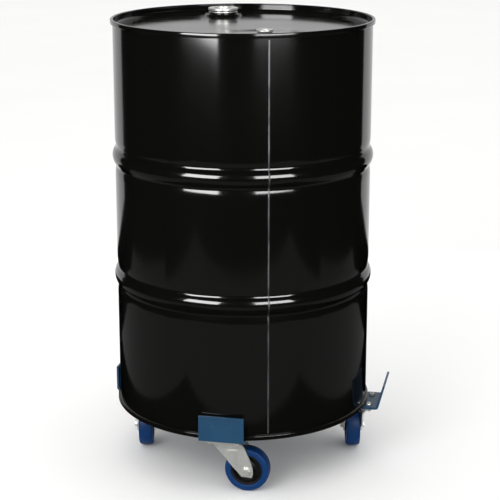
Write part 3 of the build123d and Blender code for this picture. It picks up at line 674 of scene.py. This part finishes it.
def repeated(name, unit, points, level, material, turn=0.0):
    """Copies of a unit mesh set on points by a node tree; returns the plain mesh."""
    unit_object = bpy.data.objects.new(f"{name}_unit", unit)
    bpy.context.scene.collection.objects.link(unit_object)
    holder_mesh = bpy.data.meshes.new(name)
    holder_mesh.from_pydata([tuple(p) for p in points], [], [])
    holder = bpy.data.objects.new(f"{name}_holder", holder_mesh)
    bpy.context.scene.collection.objects.link(holder)
    group = bpy.data.node_groups.new(name, "GeometryNodeTree")
    face = group.interface
    face.new_socket("Geometry", in_out="INPUT", socket_type="NodeSocketGeometry")
    height = face.new_socket("Height", in_out="INPUT", socket_type="NodeSocketFloat")
    spread = face.new_socket("Turn spread", in_out="INPUT", socket_type="NodeSocketFloat")
    face.new_socket("Geometry", in_out="OUTPUT", socket_type="NodeSocketGeometry")
    source = put(group, "NodeGroupInput").outputs
    lift = put(group, "ShaderNodeCombineXYZ", None, {"Z": source["Height"]})
    place = {"Geometry": source["Geometry"], "Offset": lift.outputs[0]}
    moved = put(group, "GeometryNodeSetPosition", None, place)
    dots = put(group, "GeometryNodeMeshToPoints", None, {"Mesh": moved.outputs[0]})
    chance = put(group, "FunctionNodeRandomValue", {"Seed": 7}, {3: source["Turn spread"]}, data_type="FLOAT")
    twist = put(group, "ShaderNodeCombineXYZ", None, {"Z": chance.outputs[1]})
    unit_info = put(group, "GeometryNodeObjectInfo", {"Object": unit_object}, None)
    copies = put(
        group,
        "GeometryNodeInstanceOnPoints",
        None,
        {"Points": dots.outputs[0], "Instance": unit_info.outputs["Geometry"], "Rotation": twist.outputs[0]},
    )
    solid = put(group, "GeometryNodeRealizeInstances", None, {0: copies.outputs[0]})
    dressed = put(group, "GeometryNodeSetMaterial", {"Material": material}, {"Geometry": solid.outputs[0]})
    put(group, "NodeGroupOutput", None, {"Geometry": dressed.outputs[0]})
    modifier = holder.modifiers.new(name, "NODES")
    modifier.node_group = group
    modifier[height.identifier] = level
    modifier[spread.identifier] = turn
    bpy.context.view_layer.update()
    plain = bpy.data.meshes.new_from_object(holder.evaluated_get(bpy.context.evaluated_depsgraph_get()))
    plain.name = name
    holder.modifiers.remove(modifier)
    bpy.data.objects.remove(holder)
    bpy.data.objects.remove(unit_object)
    return plain


screws = repeated("button_head_screws", screw_mesh, spots, bar_top, zinc, 1.0)
shown("button_head_screws", screws, zinc, "zinc_plate", "dolly", "caster_bolts")
nuts = repeated("hexagon_nuts", nut_mesh, spots, nut_low, zinc, 1.0)
shown("hexagon_nuts", nuts, zinc, "zinc_plate", "dolly", "caster_nuts")

for arm in arms:
    refinish(zinc, f"{arm}_plate", f"{arm}_kingpin", f"{arm}_fork", f"{arm}_axle_bolt", f"{arm}_axle_nut")
    refinish(steel, f"{arm}_swivel_balls", f"{arm}_axle_bush")

# ---------------------------------------------------------------- wheels
# Moulded black polyamide hub with a blue elastic rubber tyre bonded round it, running on a plain
# steel bush over the axle bolt.

HUB_RADIUS, RIM_RADIUS, RIM, WEB = 14 * MM, 35 * MM, 4 * MM, 8 * MM
RIM_HALF, TREAD_CROWN, SHOULDER = 14 * MM, 1 * MM, 5 * MM
TYRE_HALF, HUB_HALF, HUB_BORE, TYRE_STEPS = 16 * MM, 18 * MM, 8.08 * MM, 128

# Elastic solid rubber: strong blue, satin, with a faint bloom and fine rubbing on the tread.
tyre_rubber, tree, shader, coords = finish_named("blue_elastic_rubber", IOR=1.5, Specular_IOR_Level=0.12)
bloom = between(tree, grain(tree, coords, 9 * MM, 5), 0.4, 0.75, 0, 0.35)
tree.links.new(blended(tree, bloom, "#002f60", "#063d76"), shader.inputs["Base Color"])
tree.links.new(
    between(tree, grain(tree, coords, 3 * MM, 3), 0.3, 0.7, 0.38, 0.55), shader.inputs["Roughness"]
)
swelling(tree, shader, (grain(tree, coords, 1.0 * MM, 3), 0.05 * MM))

# Glass-filled polyamide, moulded: nearly black, low sheen, slight flow marks.
nylon, tree, shader, coords = finish_named("black_polyamide", IOR=1.53, Specular_IOR_Level=0.25)
tree.links.new(
    blended(tree, grain(tree, coords, 12 * MM, 4), "#090808", "#12100f"), shader.inputs["Base Color"]
)
tree.links.new(between(tree, grain(tree, coords, 4 * MM, 3), 0.3, 0.7, 0.4, 0.58), shader.inputs["Roughness"])
swelling(tree, shader, (grain(tree, coords, 1.2 * MM, 2), 0.04 * MM))

joints = {j["name"]: j for j in frame["joints"]}
for arm in arms:
    low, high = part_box(f"{arm}_tyre")
    centre = (low + high) / 2
    axis = Vector(joints[f"{arm}_wheel_spin"]["axis"])
    place = Matrix.Translation(centre) @ axis.to_track_quat("Z", "X").to_matrix().to_4x4()
    wheel_radius = (high.z - low.z) / 2
    half = [(HUB_BORE, 0), (HUB_BORE, HUB_HALF), (HUB_RADIUS - 1 * MM, HUB_HALF), (HUB_RADIUS + 1 * MM, WEB)]
    half += [(HUB_RADIUS + 5 * MM, WEB / 2), (RIM_RADIUS - RIM - 4 * MM, WEB / 2)]
    half += [(RIM_RADIUS - RIM, RIM_HALF), (RIM_RADIUS, RIM_HALF), (RIM_RADIUS, 0)]
    side = rounded(half, 0.7 * MM, 4)
    outline = side + [(r, -z) for r, z in side[-2:0:-1]]
    mesh = spun(f"{arm}_wheel_hub", outline, place, BOSS_STEPS, ring=True)
    shown(f"{arm}_wheel_hub", mesh, nylon, "black_nylon", f"{arm}_wheel", f"{arm}_hub")
    side = [(RIM_RADIUS, 0), (RIM_RADIUS, RIM_HALF)]
    side += [(RIM_RADIUS + 0.5 * MM, TYRE_HALF - 1.2 * MM), (RIM_RADIUS + 1.4 * MM, TYRE_HALF - 0.35 * MM)]
    side += [(RIM_RADIUS + 3 * MM, TYRE_HALF), (wheel_radius - SHOULDER - TREAD_CROWN, TYRE_HALF)]
    for k in range(1, 9):
        t = k / 8 * pi / 2
        r = wheel_radius - TREAD_CROWN - SHOULDER + SHOULDER * sin(t)
        side.append((r, TYRE_HALF - SHOULDER + SHOULDER * cos(t)))
    for share in (0.75, 0.5, 0.25, 0):
        side.append((wheel_radius - TREAD_CROWN * share**2, (TYRE_HALF - SHOULDER) * share))
    outline = side + [(r, -z) for r, z in side[-2:0:-1]]
    mesh = spun(f"{arm}_wheel_tyre", outline, place, TYRE_STEPS, ring=True)
    shown(f"{arm}_wheel_tyre", mesh, tyre_rubber, "blue_rubber", f"{arm}_wheel", f"{arm}_tyre")

# ---------------------------------------------------------------- floor, light and camera
# A pale plain floor under a white surround. Two upright soft boxes in front, two sheets behind and
# dim boards lying on three sides show only as reflections in the gloss; one soft fill and the
# surround light everything.

CAMERA_AZIMUTH, CAMERA_DISTANCE, CAMERA_HEIGHT, CAMERA_PITCH = 11.5, 3.206, 1.378, 14.46
CAMERA_SIDE, LENS, SHIFT = 0.016, 104.4, -0.06
NEAR_FLOOR, FAR_FLOOR = 0.30, 30  # only the near floor is mirrored in the gloss
BOARD_NEAR, BOARD_FAR, BOARD_LIFT, BOARD_RADIANCE = 0.7, 1.9, 0.002, 0.14
SURROUND = 1.15

floor_white, tree, shader, coords = finish_named("pale_studio_floor", Roughness=0.8)
tree.links.new(blended(tree, grain(tree, coords, 0.6, 3), "#f2f2f1", "#f6f6f5"), shader.inputs["Base Color"])
for name, inner, outer, mirrored in (
    ("studio_floor", 0, NEAR_FLOOR, True),
    ("studio_floor_beyond", NEAR_FLOOR, FAR_FLOOR, False),
):
    mesh = spun(name, [(inner, 0), (outer, 0)], Matrix.Identity(4), 96)
    mesh.materials.append(floor_white)
    floor_piece = bpy.data.objects.new(name, mesh)
    bpy.context.scene.collection.objects.link(floor_piece)
    floor_piece.visible_glossy = mirrored
    floor_piece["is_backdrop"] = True


def lamp(
    name, azimuth, distance, low_z, high_z, width, radiance, aim_z, diffuse=True, glossy=True, roll=0
):
    """Soft light at an azimuth from the main view's side, turned towards a height on the drum's axis."""
    t = radians(CAMERA_AZIMUTH + azimuth)
    data = bpy.data.lights.new(name, "AREA")
    data.shape, data.size, data.size_y = "RECTANGLE", width, high_z - low_z
    data.energy = radiance * width * (high_z - low_z) * pi
    light = bpy.data.objects.new(name, data)
    bpy.context.scene.collection.objects.link(light)
    spot = Vector((drum_x + distance * sin(t), drum_y - distance * cos(t), (low_z + high_z) / 2))
    light.location = spot
    facing = (spot - Vector((drum_x, drum_y, aim_z))).to_track_quat("Z", "Y").to_matrix()
    light.rotation_euler = (facing @ Matrix.Rotation(radians(roll), 3, "Z")).to_euler()
    light.visible_camera, light.visible_diffuse, light.visible_glossy = False, diffuse, glossy
    return light


lamp("left_softbox", -34, 2.5, 0.725, 1.75, 1.34, 19, 1.235, diffuse=False, roll=-4)
lamp("right_softbox", 26, 2.5, 0.8, 1.75, 1.43, 16, 1.275, diffuse=False, roll=2)
lamp("key_fill", -30, 3.5, 1.5, 3.5, 2.0, 4, 0.6, glossy=False)
lamp("backdrop_sheet", 180, 1.7, 0.0, 1.08, 4.4, 0.85, 0.54, diffuse=False)
lamp("backdrop_upper_sheet", 180, 1.7, 1.08, 2.6, 4.4, 0.68, 1.84, diffuse=False)
board_middle, board_depth = (BOARD_NEAR + BOARD_FAR) / 2, BOARD_FAR - BOARD_NEAR
for name, azimuth, width in (
    ("low_board", 0, 3.2),
    ("left_low_board", -90, 1.4),
    ("right_low_board", 90, 1.4),
):
    board = lamp(name, azimuth, board_middle, 0, board_depth, width, BOARD_RADIANCE, 0, diffuse=False)
    board.location.z = BOARD_LIFT
    board.rotation_euler = (pi, 0, radians(CAMERA_AZIMUTH + azimuth))

world = bpy.data.worlds.new("studio")
bpy.context.scene.world = world
world.use_nodes = True
sky = world.node_tree.nodes["Background"]
sky.inputs["Color"].default_value = (1, 1, 1, 1)
sky.inputs["Strength"].default_value = SURROUND
world.cycles_visibility.glossy = False

t = radians(CAMERA_AZIMUTH)
camera_data = bpy.data.cameras.new("camera")
camera = bpy.data.objects.new("camera", camera_data)
bpy.context.scene.collection.objects.link(camera)
camera.location = (
    drum_x + CAMERA_DISTANCE * sin(t) + CAMERA_SIDE * cos(t),
    drum_y - CAMERA_DISTANCE * cos(t) + CAMERA_SIDE * sin(t),
    CAMERA_HEIGHT,
)
camera.rotation_euler = (pi / 2 - radians(CAMERA_PITCH), 0, t)
camera_data.lens, camera_data.sensor_width, camera_data.shift_y = LENS, 36, SHIFT
bpy.context.scene.camera = camera
bpy.context.scene.view_settings.view_transform = "Standard"

corners = {"cad": [list(c) for c in cad_box], "visual": [list(c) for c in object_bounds()]}
